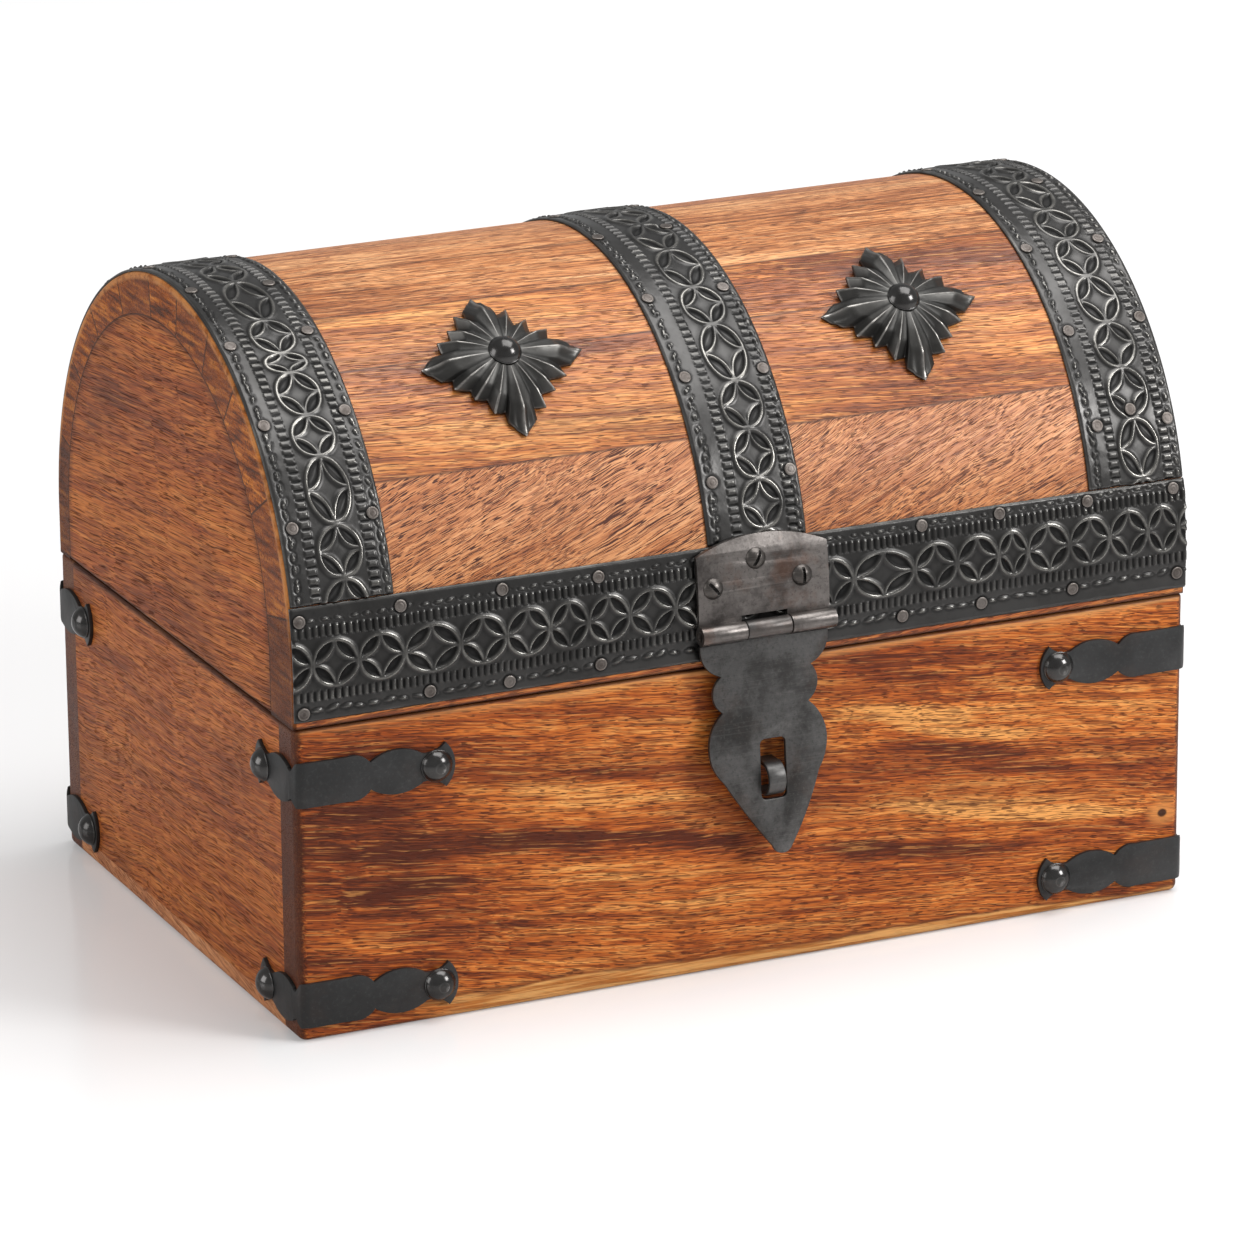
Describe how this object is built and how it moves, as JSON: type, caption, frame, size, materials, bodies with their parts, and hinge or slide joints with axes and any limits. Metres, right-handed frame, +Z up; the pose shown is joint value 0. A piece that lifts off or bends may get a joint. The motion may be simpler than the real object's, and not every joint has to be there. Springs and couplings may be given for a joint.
{
  "type": "treasure chest box",
  "caption": "Small domed treasure chest: board base, stave-built barrel lid on rear hinges, embossed metal straps, corner brackets and a knuckled hasp over a staple.",
  "frame": {"origin": "middle of the underside of the base", "axes": "+X to the right along the box as seen from the front, +Y from the front to the back, +Z up"},
  "size_m": [0.3056, 0.2102, 0.2109],
  "materials": {
    "board_wood": "satin varnish",
    "stave_wood": "satin varnish",
    "panel_wood": "satin varnish",
    "bottom_wood": "bare",
    "strap_metal": "embossed, worn black",
    "rosette_metal": "satin, worn ridges",
    "bracket_iron": "matt black",
    "tack_iron": "gloss black",
    "nail_iron": "satin black",
    "hasp_steel": "brown patina, worn edges",
    "hasp_fittings": "brown patina",
    "hinge_steel": "brown patina"
  },
  "bodies": {
    "base": {"base_back_board": "board_wood", "base_bottom_board": "bottom_wood", "base_front_board": "board_wood", "base_hinge_screws": "hinge_steel", "base_left_end": "board_wood", "base_right_end": "board_wood", "bracket_back_left_lower": "bracket_iron", "bracket_back_left_upper": "bracket_iron", "bracket_back_right_lower": "bracket_iron", "bracket_back_right_upper": "bracket_iron", "bracket_front_left_lower": "bracket_iron", "bracket_front_left_upper": "bracket_iron", "bracket_front_right_lower": "bracket_iron", "bracket_front_right_upper": "bracket_iron", "bracket_tacks": "tack_iron", "hasp_staple": "hasp_fittings", "left_hinge_base_leaf": "hinge_steel", "left_hinge_pin": "hinge_steel", "right_hinge_base_leaf": "hinge_steel", "right_hinge_pin": "hinge_steel"},
    "lid": {"centre_band": "strap_metal", "front_strap": "strap_metal", "hasp_leaf": "hasp_steel", "hasp_pin": "hasp_fittings", "hasp_screws": "hasp_fittings", "left_band": "strap_metal", "left_hinge_lid_leaf": "hinge_steel", "left_rosette": "rosette_metal", "lid_back_rail": "stave_wood", "lid_front_rail": "stave_wood", "lid_hinge_screws": "hinge_steel", "lid_left_end": "panel_wood", "lid_right_end": "panel_wood", "lid_stave_1": "stave_wood", "lid_stave_2": "stave_wood", "lid_stave_3": "stave_wood", "lid_stave_4": "stave_wood", "lid_stave_5": "stave_wood", "lid_stave_6": "stave_wood", "lid_stave_7": "stave_wood", "lid_stave_8": "stave_wood", "lid_stave_9": "stave_wood", "right_band": "strap_metal", "right_hinge_lid_leaf": "hinge_steel", "right_rosette": "rosette_metal", "rosette_tacks": "tack_iron", "strap_nails": "nail_iron"},
    "hasp": {"hasp_plate": "hasp_steel"}
  },
  "joints": [
    {"name": "lid_hinge", "type": "hinge", "parent": "base", "child": "lid", "pos_m": [0, 0.1, 0.09715], "axis": [-1, 0, 0], "range_deg": [0, 105]},
    {"name": "hasp_hinge", "type": "hinge", "parent": "lid", "child": "hasp", "pos_m": [0.0028, -0.1019, 0.109], "axis": [-1, 0, 0], "range_deg": [-4, 170]}
  ]
}
